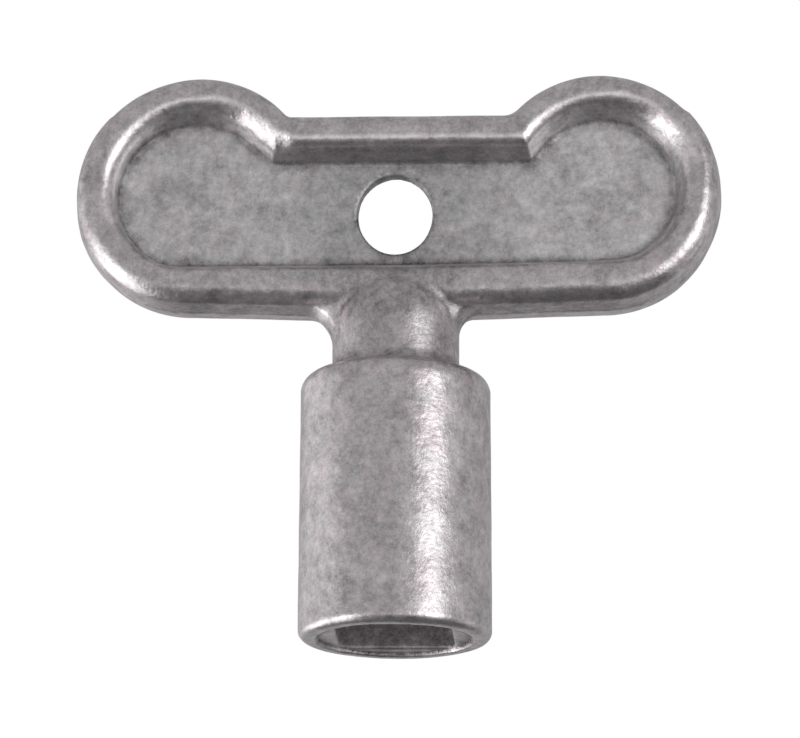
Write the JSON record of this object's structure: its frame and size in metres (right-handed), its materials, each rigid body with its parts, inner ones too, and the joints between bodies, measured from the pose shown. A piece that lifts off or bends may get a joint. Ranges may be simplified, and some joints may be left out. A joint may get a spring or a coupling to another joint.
{
  "type": "radiator bleed key",
  "caption": "Die-cast key with a flat dog-bone handle, a hanging hole and a square socket in a cylindrical barrel.",
  "frame": {"origin": "centre of the socket mouth plane, on the socket axis", "axes": "+Z along the socket axis from the mouth to the handle, +X along the width of the handle, +Y through the thickness of the handle"},
  "size_m": [0.0378, 0.011, 0.0336],
  "materials": {
    "zinc": "as-cast and tumbled zinc alloy, dull grey"
  },
  "bodies": {
    "root": {"key_casting": "zinc"}
  },
  "joints": []
}
